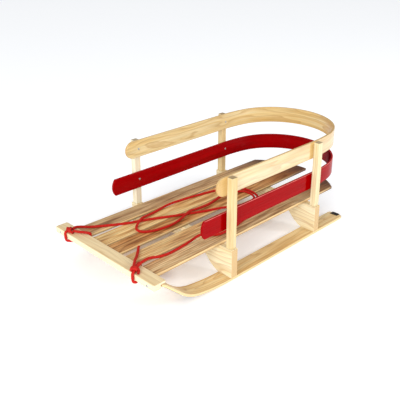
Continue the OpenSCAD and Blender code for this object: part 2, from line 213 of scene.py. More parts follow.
def wood(name, light, mid, dark, line, streak=0.5, rings=3.2, ring_w=0.5, wave=1.0,
         rough=0.38, coat=0.15, end=None, fleck=0.35, side=None, side_f=0.0, painted_light_zones=None, rear=None, band=(2.2, 60),
         low=None, along=3.2, spread=0.14):
    """Varnished sawn wood. The attribute "wood" holds each point's place in its board:
    along the grain, across it and through it, in metres, moved by a shift for each board.
    light, mid and dark are the colours between growth rings, line the ring's own colour.
    rings is the spacing of the rings in mm."""
    n = Nodes(name)
    p = n.attr("wood").outputs["Vector"]
    # slow wander of the rings along the board, wider where the board was cut flat
    w1 = n.noise(n.vmul(p, (along, 14, 14)), 1, 2, 0.5)
    w2 = n.noise(n.vadd(n.vmul(p, (9, 30, 30)), (7.3, 1.1, 4.2)), 1, 2, 0.5)
    x, y, z = n.split(p)
    wander = n.math("ADD", n.math("MULTIPLY", n.math("SUBTRACT", w1, 0.5), 0.030 * wave),
                    n.math("MULTIPLY", n.math("SUBTRACT", w2, 0.5), 0.006 * wave))
    r = n.math("SQRT", n.math("ADD", n.math("POWER", y, 2.0), n.math("POWER", z, 2.0)))
    r = n.math("ADD", r, wander)
    phase = n.math("FRACT", n.math("MULTIPLY", r, 1000.0 / rings))
    early = n.ramp(phase, [(0.0, grey(0.10)), (0.10, grey(0.0)), (0.50, grey(0.12)), (0.76, grey(0.45)), (0.92, grey(1.0)), (1.0, grey(0.10))])
    # long streaks and slow changes of colour
    s1 = n.noise(n.vmul(p, (band[0], band[1], band[1])), 1, 3, 0.6, 0.15)
    s2 = n.noise(n.vadd(n.vmul(n.vadd(p, n.join(0.0, wander, 0.0)), (9, 330, 330)), (3.0, 9.0, 1.0)), 1, 3, 0.6)
    s3 = n.noise(n.vadd(n.vmul(p, (28, 1500, 1500)), (1.0, 2.0, 3.0)), 1, 2, 0.6)
    cloud = n.noise(n.vadd(n.vmul(p, (2.5, 9, 9)), (5.0, 5.0, 5.0)), 1, 2, 0.5)
    base = n.ramp(n.math("ADD", n.math("MULTIPLY", s1, 0.75), n.math("MULTIPLY", cloud, 0.25)),
                  [(0.48 - spread, dark), (0.48, mid), (0.48 + spread, light)])
    ringed = n.mix(n.math("MULTIPLY", early, ring_w), base, line)
    t = n.maprange(s2, 0.30, 0.70, 1.0 - 0.22 * streak, 1.0 + 0.10 * streak)
    tc = n.join(t, t, t)
    col = n.mix(1.0, ringed, tc, "MULTIPLY")
    # short dark pores
    pore = n.ramp(n.noise(n.vadd(n.vmul(p, (110, 2600, 2600)), (8.0, 1.0, 0.0)), 1, 1, 0.5),
                  [(0.0, grey(0)), (0.66, grey(0)), (0.74, grey(1))])
    col = n.mix(n.math("MULTIPLY", pore, fleck * 0.55), col, dark)
    # the side faces take the side colour: paler on slats and runners, darker on the bent rails' top and bottom faces;
    # on the crossbar they are its front face and ends, painted light there
    if side is not None:
        sf = n.math("MULTIPLY", n.attr("side").outputs["Fac"], side_f)
        col = n.mix(n.math("MULTIPLY", sf, n.maprange(s2, 0.35, 0.65, 0.75, 1.0)), col, side)
    # painted shade: the lower part of the side faces darkens to the low colour, standing in for the shade in the gaps
    # between slats and below the last slat's outer edge
    if low is not None:
        col = n.mix(n.math("MULTIPLY", n.attr("low").outputs["Fac"], 0.8), col, low)
    # painted light on the left outer face of a rail, painted shade on the inner face of the left rear bend, painted
    # post shadows ahead of the left posts
    if painted_light_zones is not None:
        outer, painted_shade_inner, post_shadow_strip = rail_painted_light_masks(n, 0.009)
        col = n.mix(n.math("MULTIPLY", outer, painted_light_zones[1]), col, painted_light_zones[0])
        col = n.mix(n.math("MULTIPLY", painted_shade_inner, painted_light_zones[3]), col, painted_light_zones[2])
        col = n.mix(n.math("MULTIPLY", post_shadow_strip, painted_light_zones[5]), col, painted_light_zones[4])
    # browner towards the back end, in streaks
    if rear is not None:
        lf = n.attr("run").outputs["Fac"]
        rf = n.math("MULTIPLY", n.maprange(n.math("ADD", lf, n.math("MULTIPLY", n.math("SUBTRACT", s1, 0.5), 0.5)), 0.76, 0.98, 0.0, 1.0), rear[1], clamp=True)
        col = n.mix(rf, col, rear[0])
    # handled edges: paler and duller where the edge attribute is high
    edge = n.attr("edge").outputs["Fac"]
    worn = n.math("MULTIPLY", edge, n.maprange(n.noise(n.vmul(p, (60, 200, 200)), 1, 2, 0.6), 0.38, 0.62, 0.15, 0.9))
    col = n.mix(n.math("MULTIPLY", worn, 0.30), col, light)
    # end grain is darker and shows the rings as fine arcs
    if end is not None:
        ef = n.attr("endgrain").outputs["Fac"]
        en = n.noise(n.vmul(p, (900, 900, 900)), 1, 3, 0.7)
        ecol = n.mix(n.math("MULTIPLY", early, 0.55), end, dark)
        ecol = n.mix(n.maprange(en, 0.4, 0.7, 0.0, 0.45), ecol, line)
        col = n.mix(ef, col, ecol)
    n.link(col, n.bsdf.inputs["Base Color"])
    rg = n.math("ADD", n.maprange(s2, 0.3, 0.7, rough + 0.07, rough - 0.05), n.math("MULTIPLY", worn, 0.12))
    n.link(rg, n.bsdf.inputs["Roughness"])
    h = n.math("ADD", n.math("MULTIPLY", s3, 0.45), n.math("ADD", n.math("MULTIPLY", s2, 0.4), n.math("MULTIPLY", pore, -0.5)))
    n.link(n.bump(h, 0.22, 0.0004), n.bsdf.inputs["Normal"])
    n.bsdf.inputs["Coat Weight"].default_value = coat
    n.bsdf.inputs["Coat Roughness"].default_value = 0.16
    n.bsdf.inputs["Specular IOR Level"].default_value = 0.3
    return n.mat


PALE = wood("pale_wood_varnished", srgb(248, 241, 212), srgb(244, 230, 190), srgb(234, 210, 158), srgb(196, 152, 88),
            streak=0.5, rings=5.4, ring_w=0.52, wave=1.3, rough=0.36, coat=0.15, end=srgb(214, 180, 128), fleck=0.25)
# the crossbar's side colour lies on its front face and ends: painted light
BAR = wood("pale_wood_crossbar", srgb(247, 227, 184), srgb(241, 216, 168), srgb(230, 198, 146), srgb(206, 164, 106),
           streak=0.7, rings=6.5, ring_w=0.32, wave=1.1, rough=0.36, coat=0.15, end=srgb(246, 232, 204), fleck=0.25,
           side=srgb(243, 228, 192), side_f=0.8, band=(4.5, 90))
POST = wood("pale_wood_straight", srgb(240, 224, 178), srgb(232, 207, 150), srgb(220, 187, 124), srgb(190, 146, 82),
            streak=0.8, rings=2.8, ring_w=0.42, wave=0.35, rough=0.36, coat=0.15, end=srgb(158, 138, 108))
# a paler copy of the post wood for the right front post: painted light
POST_PAINTED_LIT = wood("post_wood_painted_lit", srgb(252, 246, 226), srgb(249, 240, 210), srgb(240, 224, 186), srgb(214, 186, 136),
                  streak=0.7, rings=2.8, ring_w=0.36, wave=0.35, rough=0.36, coat=0.15, end=srgb(168, 150, 124))
POST_CREAM = wood("cream_wood_straight", srgb(246, 234, 200), srgb(240, 222, 176), srgb(228, 204, 150), srgb(202, 164, 104),
                  streak=0.8, rings=2.8, ring_w=0.42, wave=0.35, rough=0.36, coat=0.15, end=srgb(168, 148, 118))
# the last argument paints light and shade: the left outer face paler (painted light), the inner face of the left rear
# bend browner (painted shade), golden strips ahead of the left posts (painted post shadows)
RAILW = wood("pale_wood_bent", srgb(240, 222, 176), srgb(233, 206, 146), srgb(216, 176, 102), srgb(186, 138, 70),
             streak=0.7, rings=6.0, ring_w=0.50, wave=1.7, along=1.7, rough=0.30, coat=0.25, end=srgb(206, 166, 106), fleck=0.35,
             side=srgb(200, 158, 98), side_f=0.6,
             painted_light_zones=(srgb(246, 228, 206), 0.27, srgb(200, 150, 80), 0.6, srgb(206, 162, 84), 0.75))
GOLD = wood("golden_wood_varnished", srgb(251, 233, 184), srgb(244, 214, 156), srgb(220, 177, 112), srgb(180, 130, 70),
            streak=0.7, rings=3.6, ring_w=0.44, wave=0.9, rough=0.36, coat=0.15, end=srgb(200, 160, 104),
            side=srgb(240, 214, 160), side_f=0.8)
SLATS = []
for i, (li, mi, da, ri, rw) in enumerate([
        ((228, 192, 140), (196, 152, 102), (144, 102, 64), (104, 70, 42), 0.50),
        ((254, 222, 156), (238, 190, 120), (184, 126, 72), (120, 76, 42), 0.42),
        ((236, 178, 112), (200, 135, 72), (138, 82, 38), (90, 52, 24), 0.52),
        ((252, 216, 152), (230, 178, 114), (172, 114, 64), (112, 68, 40), 0.46),
        ((240, 206, 154), (212, 168, 114), (160, 112, 68), (98, 60, 32), 0.46)]):
    # low is painted shade on the slats' lower side faces: dark brown in the gaps, a lighter tone on the fifth slat
    SLATS.append(wood(f"slat_wood_{i + 1}", srgb(*li), srgb(*mi), srgb(*da), srgb(*ri), streak=1.3, rings=4.6, spread=0.10, ring_w=rw,
                      wave=1.1, rough=0.42, coat=0.12, end=srgb(*da), fleck=0.6, side=srgb(250, 218, 156), side_f=0.92,
                      rear=(srgb(88, 44, 18), 0.95), band=(8.0, 95),
                      low=srgb(70, 44, 26) if i < 4 else srgb(176, 140, 104)))


def lacquer():
    """Red gloss lacquer over wood: the grain telegraphs through, the edges wear thin, a painted highlight runs along
    the top outer edge on the left side, painted shade lies on the inner face of the left rear bend and painted post
    shadows on the outer face ahead of the left posts.
    """
    n = Nodes("red_lacquer")
    p = n.attr("wood").outputs["Vector"]
    s1 = n.noise(n.vmul(p, (2.0, 70, 70)), 1, 3, 0.55)
    s2 = n.noise(n.vadd(n.vmul(p, (9, 420, 420)), (3.0, 9.0, 1.0)), 1, 3, 0.6)
    col = n.ramp(s1, [(0.28, srgb(146, 0, 3)), (0.5, srgb(158, 1, 6)), (0.72, srgb(168, 3, 10))])
    t = n.maprange(s2, 0.3, 0.7, 0.93, 1.04)
    col = n.mix(1.0, col, n.join(t, t, t), "MULTIPLY")
    edge = n.attr("edge").outputs["Fac"]
    worn = n.math("MULTIPLY", edge, n.maprange(n.noise(n.vmul(p, (50, 160, 160)), 1, 3, 0.6), 0.45, 0.68, 0.0, 1.0))
    col = n.mix(n.math("MULTIPLY", worn, 0.15), col, srgb(200, 70, 64))
    # painted highlight: a pale pink line along the top outer edge of the left side
    lip = n.math("MULTIPLY", n.attr("lip").outputs["Fac"], n.maprange(n.noise(n.vmul(p, (40, 300, 300)), 1, 2, 0.6), 0.35, 0.6, 0.55, 1.0))
    col = n.mix(lip, col, srgb(240, 132, 126))
    outer, painted_shade_inner, post_shadow_strip = rail_painted_light_masks(n)
    # painted shade on the inner face of the left rear bend, dark maroon; painted post shadows, a deeper red, ahead of
    # the left posts
    col = n.mix(n.math("MULTIPLY", painted_shade_inner, 0.85), col, srgb(84, 6, 18))
    col = n.mix(n.math("MULTIPLY", post_shadow_strip, 0.9), col, srgb(146, 0, 0))
    n.link(col, n.bsdf.inputs["Base Color"])
    orange = n.noise(n.vmul(p, (260, 260, 260)), 1, 2, 0.5)
    n.link(n.math("ADD", n.maprange(s2, 0.3, 0.7, 0.30, 0.22), n.math("MULTIPLY", worn, 0.2)), n.bsdf.inputs["Roughness"])
    h = n.math("ADD", n.math("MULTIPLY", s2, 0.5), n.math("MULTIPLY", orange, 0.35))
    n.link(n.bump(h, 0.10, 0.0004), n.bsdf.inputs["Normal"])
    # coat and specular are left off where the painted shade and painted post shadows lie
    sheen = n.math("SUBTRACT", 1.0, n.math("MAXIMUM", painted_shade_inner, post_shadow_strip), clamp=True)
    n.link(n.math("MULTIPLY", sheen, 0.03), n.bsdf.inputs["Coat Weight"])
    n.bsdf.inputs["Coat Roughness"].default_value = 0.08
    n.link(n.math("MULTIPLY", sheen, 0.05), n.bsdf.inputs["Specular IOR Level"])
    return n.mat


RED = lacquer()


def metal(name, light, dark, rough, metallic, scale=900.0, bump=0.12):
    n = Nodes(name)
    p = n.new("ShaderNodeTexCoord").outputs["Object"]
    a = n.noise(p, scale, 3, 0.6)
    b = n.noise(n.vadd(p, (0.3, 0.7, 0.1)), scale * 0.22, 2, 0.5)
    f = n.math("ADD", n.math("MULTIPLY", a, 0.5), n.math("MULTIPLY", b, 0.5))
    n.link(n.ramp(f, [(0.36, dark), (0.6, light)]), n.bsdf.inputs["Base Color"])
    n.link(n.maprange(f, 0.35, 0.65, rough + 0.10, rough - 0.05), n.bsdf.inputs["Roughness"])
    n.link(n.bump(a, bump, 0.0002), n.bsdf.inputs["Normal"])
    n.bsdf.inputs["Metallic"].default_value = metallic
    return n.mat


SCREW = metal("zinc_screw", srgb(214, 214, 216), srgb(150, 150, 156), 0.30, 1.0)
SHOE = metal("black_steel", srgb(52, 50, 50), srgb(22, 21, 22), 0.42, 0.35, 500.0)


def rope_mat():
    """Braided cord. The attribute "rope" holds metres along the rope and turns round it,
    and "strand" how high the strand stands at that point."""
    n = Nodes("red_cord")
    p = n.attr("rope").outputs["Vector"]
    h = n.attr("strand").outputs["Fac"]
    u, v, w = n.split(p)
    fib = n.noise(n.join(n.math("MULTIPLY", u, 1400.0), n.math("MULTIPLY", v, 34.0), w), 1, 3, 0.6)
    slow = n.noise(n.join(n.math("MULTIPLY", u, 22.0), n.math("MULTIPLY", v, 2.0), w), 1, 2, 0.5)
    # dark down between the strands, bright on their crowns: painted shade in the crevices
    base = n.ramp(h, [(0.0, srgb(90, 3, 3)), (0.45, srgb(168, 11, 8)), (1.0, srgb(212, 38, 24))])
    t = n.math("MULTIPLY", n.maprange(fib, 0.3, 0.7, 0.80, 1.14), n.maprange(slow, 0.3, 0.7, 0.90, 1.08))
    n.link(n.mix(1.0, base, n.join(t, t, t), "MULTIPLY"), n.bsdf.inputs["Base Color"])
    n.link(n.maprange(fib, 0.3, 0.7, 0.72, 0.50), n.bsdf.inputs["Roughness"])
    n.link(n.bump(fib, 0.5, 0.0002), n.bsdf.inputs["Normal"])
    n.bsdf.inputs["Sheen Weight"].default_value = 0.12
    n.bsdf.inputs["Specular IOR Level"].default_value = 0.2
    n.bsdf.inputs["Sheen Roughness"].default_value = 0.4
    n.bsdf.inputs["Sheen Tint"].default_value = srgb(255, 120, 90)
    return n.mat


ROPE = rope_mat()


def add(name, mesh, mat, nodes=()):
    o = bpy.data.objects.new(name, mesh)
    scene.collection.objects.link(o)
    if mat is not None:
        mesh.materials.append(mat)
    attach(o, BODY)
    if nodes:
        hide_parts(*nodes)
    return o


# ------------------------------------------------------------------ rope
D = 7.0
ROUTE = [
    (-145, -402, 107.5), (-149.5, -388, 106.3), (-147, -372, 102.5), (-139, -357, 99.5), (-114, -322, 99.5),
    (-87, -276, 99.5), (-60, -214, 99.5), (-33, -161, 99.5), (-13, -119, 99.5), (9, -72, 99.5),
    (31, -18, 99.5), (45, 1, 99.5), (52, 20, 99.5), (55, 42, 99.5), (55.5, 62, 99.5),
    (54, 78, 99.5), (48, 91, 99.5), (35, 101, 99.5), (17, 106, 99.5), (0, 105, 99.5),
    (-14, 92, 99.5), (-25, 60, 99.5), (-27, 30, 99.5), (-20, -5, 99.5), (-14, -40, 99.5),
    (-12, -86, 103), (-10, -112, 106.5), (-5, -136, 103.5), (2, -170, 99.5), (5, -205, 99.5),
    (-5, -253, 99.5), (-17, -271, 99.5), (-31, -277, 99.5), (-45, -272, 99.5), (-57, -258, 102.5),
    (-68, -235, 106.5), (-78, -204, 102), (-84, -176, 99.5), (-93, -120, 99.5), (-88, -60, 99.5),
    (-72, 26, 99.5), (-60, 66, 99.5), (-36, 103, 99.5), (-14, 118, 99.5), (8, 119, 99.5),
    (33, 114, 99.5), (57, 98, 99.5), (76, 66, 99.5), (98, 14, 99.5), (118, -36, 99.5),
    (129.5, -87, 99.5), (131.5, -120, 99.5), (128, -145, 99.5), (113, -160, 99.5), (100, -171, 99.5),
    (98, -184, 99.5), (104, -218, 99.5), (109, -255, 99.5), (110.5, -273, 99.5), (111.5, -290, 99.5),
    (110.5, -306, 99.5), (108, -320, 99.7), (105, -333, 101), (103, -344, 103.5), (103.5, -356, 106),
    (107, -371, 108), (110.5, -385, 108.8), (117, -400, 108.5)]


def spline(points, step, closed=False):
    """Centripetal Catmull-Rom curve through the points, resampled at even steps (mm)."""
    P = [Vector(p) for p in points]
    P = [P[0] * 2 - P[1]] + P + [P[-1] * 2 - P[-2]]
    fine = []
    for i in range(1, len(P) - 2):
        p0, p1, p2, p3 = P[i - 1], P[i], P[i + 1], P[i + 2]
        t0 = 0.0
        t1 = t0 + max((p1 - p0).length, 1e-6) ** 0.5
        t2 = t1 + max((p2 - p1).length, 1e-6) ** 0.5
        t3 = t2 + max((p3 - p2).length, 1e-6) ** 0.5
        for k in range(24):
            t = t1 + (t2 - t1) * k / 24
            a1 = p0 * ((t1 - t) / (t1 - t0)) + p1 * ((t - t0) / (t1 - t0))
            a2 = p1 * ((t2 - t) / (t2 - t1)) + p2 * ((t - t1) / (t2 - t1))
            a3 = p2 * ((t3 - t) / (t3 - t2)) + p3 * ((t - t2) / (t3 - t2))
            b1 = a1 * ((t2 - t) / (t2 - t0)) + a2 * ((t - t0) / (t2 - t0))
            b2 = a2 * ((t3 - t) / (t3 - t1)) + a3 * ((t - t1) / (t3 - t1))
            fine.append(b1 * ((t2 - t) / (t2 - t1)) + b2 * ((t - t1) / (t2 - t1)))
    fine.append(P[-2])
    out, acc = [fine[0]], 0.0
    total = sum((fine[i + 1] - fine[i]).length for i in range(len(fine) - 1))
    n = max(2, round(total / step))
    step = total / n
    for i in range(len(fine) - 1):
        a, b = fine[i], fine[i + 1]
        seg = (b - a).length
        while acc + seg >= step - 1e-9 and len(out) < n:
            k = (step - acc) / seg
            a = a.lerp(b, k)
            seg = (b - a).length
            out.append(a.copy())
            acc = 0.0
        acc += seg
    out.append(fine[-1].copy())
    return out, total


def braid(name, line, d, sides=24, relief=0.30, ends=(True, True), strands=8, pitch=2.2, squash=None):
    """A braided cord along the line (mm): two families of strands that pass over and under."""
    verts, faces, height, uvw = [], [], [], []
    n = len(line)
    t_prev = None
    side = None
    s = 0.0
    for i, p in enumerate(line):
        t = (line[min(i + 1, n - 1)] - line[max(i - 1, 0)]).normalized()
        if side is None:
            side = t.cross(Vector((0, 0, 1)) if abs(t.z) < 0.8 else Vector((1, 0, 0))).normalized()
        side = (side - t * side.dot(t)).normalized()
        other = t.cross(side)
        if i:
            s += (line[i] - line[i - 1]).length
        for k in range(sides):
            a = 2 * math.pi * k / sides
            u = strands * a / (2 * math.pi) + s / pitch
            v = strands * a / (2 * math.pi) - s / pitch
            fu, fv = u - math.floor(u), v - math.floor(v)
            over = (math.floor(u) + math.floor(v)) % 2 == 0
            x = fu if over else fv
            h = math.sqrt(max(0.0, 1 - (2 * x - 1) ** 2 * 0.9))
            h *= 0.75 + 0.25 * math.sin(math.pi * (fv if over else fu))
            r = d / 2 - relief + relief * h
            q = p + (side * math.cos(a) + other * math.sin(a)) * r
            verts.append(q * MM)
            height.append(h)
            uvw.append((s * MM, k / sides, 0.0))
    for i in range(n - 1):
        for k in range(sides):
            a, b = i * sides + k, i * sides + (k + 1) % sides
            faces.append((a, b, b + sides, a + sides))
    for end, on in ((0, ends[0]), (n - 1, ends[1])):
        if not on:
            continue
        t = (line[1] - line[0]).normalized() if end == 0 else (line[-2] - line[-1]).normalized()
        base = end * sides
        prev = list(range(base, base + sides))
        c = line[end]
        for f, dd in ((0.72, 0.10), (0.38, 0.17)):
            ring = []
            for k in range(sides):
                q = Vector(verts[base + k]) / MM
                q = c + (q - c) * f - t * (d * dd)
                ring.append(len(verts))
                verts.append(q * MM)
                height.append(0.35)
                uvw.append(uvw[base + k])
            for k in range(sides):
                quad = (prev[k], prev[(k + 1) % sides], ring[(k + 1) % sides], ring[k])
                faces.append(quad[::-1] if end == 0 else quad)
            prev = ring
        verts.append((c - t * d * 0.19) * MM)
        height.append(0.2)
        uvw.append(uvw[base])
        for k in range(sides):
            tri = (prev[k], prev[(k + 1) % sides], len(verts) - 1)
            faces.append(tri[::-1] if end == 0 else tri)
    me = bpy.data.meshes.new(name)
    me.from_pydata([tuple(v) for v in verts], [], faces)
    me.validate()
    at = me.attributes.new("rope", "FLOAT_VECTOR", "POINT")
    at.data.foreach_set("vector", [c for v in uvw for c in v])
    at = me.attributes.new("strand", "FLOAT", "POINT")
    at.data.foreach_set("value", height)
    me.shade_smooth()
    return me


line, rope_len = spline(ROUTE, 0.8)
rope = add("pull_rope_braided", braid("pull_rope_braided", line, D), ROPE, ["pull_rope"])


def knot(name, centre, mirror, node, loop, tail=None):
    """An overhand knot beside the bar's top: a wrapped lump, the loop round the bar and the tail."""
    me = bmesh.new()
    objs = []
    l, _ = spline(loop, 0.8)
    objs.append(braid(name, l, D))
    if tail:
        l, _ = spline(tail, 0.8)
        objs.append(braid(name, l, D))
    for turn in centre:
        l, _ = spline(turn, 0.8)
        objs.append(braid(name, l, D * 0.96))
    me = bpy.data.meshes.new(name)
    bm = bmesh.new()
    for x in objs:
        bm.from_mesh(x)
    bm.to_mesh(me)
    bm.free()
    for x in objs:
        bpy.data.meshes.remove(x)
    me.shade_smooth()
    return add(name, me, ROPE, [node])


LOOP_L = [
    (123, -411, 108), (127, -418.5, 106.5), (127.7, -422, 103.4), (128, -422.8, 99), (129, -422.6, 86.5),
    (130, -421.6, 83.6), (133, -417.5, 82.4), (106, -382, 82.3), (102.5, -379, 84.5), (102, -378.7, 97),
    (102, -379.2, 103), (104, -387, 105.5), (113, -402, 107.5)]
LOOP_R = [
    (-144, -409, 107.5), (-146.5, -418, 106.4), (-146.7, -422, 103.4), (-146.5, -422.8, 99), (-144.5, -422.6, 86.5),
    (-142, -421.6, 83.6), (-137.5, -417.5, 82.4), (-105, -381.5, 82.3), (-100.5, -379, 84.5), (-99, -378.7, 97),
    (-100, -379.2, 103.8), (-105, -385, 106), (-134, -406, 107.5)]
TAIL_L = [
    (110, -405, 107.5), (97, -392, 107), (86, -381, 106), (72, -366, 101.5), (54, -348, 99.5),
    (35, -329, 99.5)]


# ------------------------------------------------------------------ boards
def store(me, **values):
    """Writes each list to a point attribute of the mesh, one number or one vector a point."""
    for name, vals in values.items():
        if isinstance(vals[0], tuple):
            me.attributes.new(name, "FLOAT_VECTOR", "POINT").data.foreach_set("vector", [c for v in vals for c in v])
        else:
            me.attributes.new(name, "FLOAT", "POINT").data.foreach_set("value", vals)


def board(name, outline, thick, place, shift, bevel=1.2, segs=3, cuts=(), rough_end=(), warp=None, along=0):
    """A board drawn in its own plane (mm): outline in (a, b), a along the grain, thick through c.
    Its edges are rounded, it is cut across at the given a for bending, each point's place in the
    board is stored for the grain, and then place(a, b, c) puts it in the sleigh."""
    bm = bmesh.new()
    vs = [bm.verts.new((x, y, 0)) for x, y in outline]
    f = bm.faces.new(vs)
    r = bmesh.ops.extrude_face_region(bm, geom=[f])
    top = [v for v in r["geom"] if isinstance(v, bmesh.types.BMVert)]
    bmesh.ops.translate(bm, vec=(0, 0, thick), verts=top)
    bmesh.ops.recalc_face_normals(bm, faces=bm.faces)
    sharp = [e for e in bm.edges if len(e.link_faces) == 2 and e.calc_face_angle() > math.radians(28)]
    bmesh.ops.bevel(bm, geom=sharp, offset=bevel, segments=segs, profile=0.5, affect="EDGES", clamp_overlap=True)
    for c in cuts:
        g = bm.verts[:] + bm.edges[:] + bm.faces[:]
        bmesh.ops.bisect_plane(bm, geom=g, plane_co=(c, 0, 0), plane_no=(1, 0, 0), dist=1e-4)
    bmesh.ops.recalc_face_normals(bm, faces=bm.faces)
    bm.normal_update()
    lo = [min(v.co[i] for v in bm.verts) for i in range(3)]
    hi = [max(v.co[i] for v in bm.verts) for i in range(3)]
    wood_at, edge_at, end_at, side_at, low_at, run_at, co = [], [], [], [], [], [], []
    lip_at, out_at = [], []
    bm.verts.ensure_lookup_table()
    for v in bm.verts:
        nrm = v.normal
        axis = max(abs(nrm.x), abs(nrm.y), abs(nrm.z))
        edge_at.append(1.0 if axis < 0.93 else 0.0)
        end_at.append(1.0 if abs(nrm.x) > 0.8 else 0.0)
        side_at.append(1.0 if abs(nrm.y) > 0.35 else 0.0)
        # low marks the lower part of the side faces, for painted shade
        low_at.append(1.0 if abs(nrm.y) > 0.5 and v.co.z < thick * 0.6 else 0.0)
        run_at.append((v.co.x - lo[0]) / (hi[0] - lo[0]))
        out_at.append(1.0 if nrm.z > 0.6 else -1.0 if nrm.z < -0.6 else 0.0)
        # painted highlight mask: the top outer edge of a rail's left part
        lip_at.append(1.0 if axis < 0.97 and nrm.y > 0.45 and abs(nrm.x) < 0.3 and v.co.z > thick / 2 and run_at[-1] < 0.44 else 0.0)
        wood_at.append(tuple((v.co[i] + shift[i]) * MM for i in range(3)))
        co.append(v.co.copy())
    for v, c in zip(bm.verts, co):
        if warp:
            c = c + Vector(warp(c))
        v.co = Vector(place(*c)) * MM
    bmesh.ops.recalc_face_normals(bm, faces=bm.faces)
    me = bpy.data.meshes.new(name)
    bm.to_mesh(me)
    bm.free()
    store(me, wood=wood_at, edge=edge_at, endgrain=end_at, side=side_at, low=low_at, run=run_at, lip=lip_at, out=out_at)
    me.shade_smooth()
    return me


def weighted(o):
    w = o.modifiers.new("even_normals", "WEIGHTED_NORMAL")
    w.mode = "FACE_AREA"
    w.keep_sharp = True
    return o


def arc(cx, cy, r, a0, a1, n):
    return [(cx + r * math.cos(math.radians(a0 + (a1 - a0) * i / n)), cy + r * math.sin(math.radians(a0 + (a1 - a0) * i / n))) for i in range(n + 1)]


HALF_W, RUN_Z, BOL_Z, DECK_Z = 199.0, 8.0, 88.0, 96.0
RAB_Y, BAR_Y0, BAR_Y1 = -398.0, -419.0, -382.5

# --- slats
SW = [54, 52.5, 50, 48, 51.5]
SF = [-133.5, -62.7, -2.5, 66.5, 132.7]
SR = [-129, -69, -12.4, 66, 130.5]
REAR, ARC_R = 393.0, 225.0
for i in range(5):
    w, a, b = SW[i], SF[i], SR[i]

    def edge_x(y, k):
        t = (y - RAB_Y) / (REAR - RAB_Y)
        return a + (b - a) * t + k * w / 2

    def arc_y(x):
        return REAR - ARC_R + math.sqrt(max(0, ARC_R ** 2 - x * x))

    yl = arc_y(edge_x(340, -1))
    yr = arc_y(edge_x(340, 1))
    pts = [(RAB_Y, edge_x(RAB_Y, -1)), (RAB_Y, edge_x(RAB_Y, 1))]
    steps = 8
    xr, xl = edge_x(yr, 1), edge_x(yl, -1)
    for k in range(steps + 1):
        x = xr + (xl - xr) * k / steps
        pts.append((arc_y(x), x))
    out = [(y, -x) for y, x in pts]
    me = board(f"slat_{i + 1}_wood", out, 8.0, lambda p, q, c: (-q, p, BOL_Z + c),
               (random.uniform(0, 3000), random.uniform(-45, 45), 40 + 12 * i), bevel=1.3, segs=3, cuts=[-300, -150, 0, 150, 300])
    weighted(add(f"slat_{i + 1}_wood", me, SLATS[i], [f"slat_{i + 1}"]))


# --- straight pieces
def block(name, node, x0, x1, y0, y1, z0, z1, along, mat, shift, bevel=1.2, cuts=()):
    """A rectangular board whose grain runs along the named axis."""
    L = {"x": x1 - x0, "y": y1 - y0, "z": z1 - z0}[along]
    if along == "z":
        out = [(0, 0), (L, 0), (L, y1 - y0), (0, y1 - y0)]
        me = board(name, out, x1 - x0, lambda a, b, c: (x0 + c, y0 + b, z0 + a), shift, bevel, 3, cuts)
    else:
        out = [(0, 0), (L, 0), (L, y1 - y0), (0, y1 - y0)]
        me = board(name, out, z1 - z0, lambda a, b, c: (x0 + a, y0 + b, z0 + c), shift, bevel, 3, cuts)
    return weighted(add(name, me, mat, [node]))


for side, sn in ((1, "left"), (-1, "right")):
    for y, fn in ((-155, "front"), (197.5, "rear")):
        x0, x1 = sorted((side * 177, side * 194.5))
        # the right front post takes the paler copy of the post wood, painted light
        block(f"post_{fn}_{sn}_wood", f"post_{fn}_{sn}", x0, x1, y - 9.5, y + 9.5, BOL_Z, 281, "z",
              {("right", "front"): POST_PAINTED_LIT, ("left", "rear"): POST_CREAM}.get((sn, fn), POST),
              (random.uniform(0, 2000), random.uniform(18, 40), random.uniform(10, 40)), bevel=1.0)

# --- bolsters
COVE_A, OGEE_A, FLAT, ARCH_H = math.radians(21), math.radians(51), 74.0, 46.8
ow = 151.2 - FLAT
det = (math.sin(OGEE_A) - math.sin(COVE_A)) * (1 - math.cos(OGEE_A)) - math.sin(OGEE_A) * (math.cos(COVE_A) - math.cos(OGEE_A))
COVE_R = (ow * (1 - math.cos(OGEE_A)) - math.sin(OGEE_A) * ARCH_H) / det
SHO_R = ((math.sin(OGEE_A) - math.sin(COVE_A)) * ARCH_H - (math.cos(COVE_A) - math.cos(OGEE_A)) * ow) / det
half = arc(151.2 + COVE_R * math.sin(COVE_A), RUN_Z + COVE_R * math.cos(COVE_A), COVE_R, 270 - 21, 270 - 51, 12)
half += arc(FLAT, RUN_Z + ARCH_H - SHO_R, SHO_R, 90 - 51, 90, 14)[1:]
bol_out = [(HALF_W, BOL_Z), (-HALF_W, BOL_Z), (-HALF_W, RUN_Z)] + [(-x, z) for x, z in half] + [(x, z) for x, z in reversed(half)] + [(HALF_W, RUN_Z)]
for y, nm in ((-155, "front"), (197.5, "rear")):
    me = board(f"bolster_{nm}_wood", bol_out, 22.0, lambda a, b, c, y=y: (a, y + 11 - c, b),
               (random.uniform(0, 2000), random.uniform(-30, 10), random.uniform(25, 60)), bevel=1.2, segs=3,
               cuts=[-170, -110, -60, 0, 60, 110, 170])
    weighted(add(f"bolster_{nm}_wood", me, PALE, [f"bolster_{nm}"]))

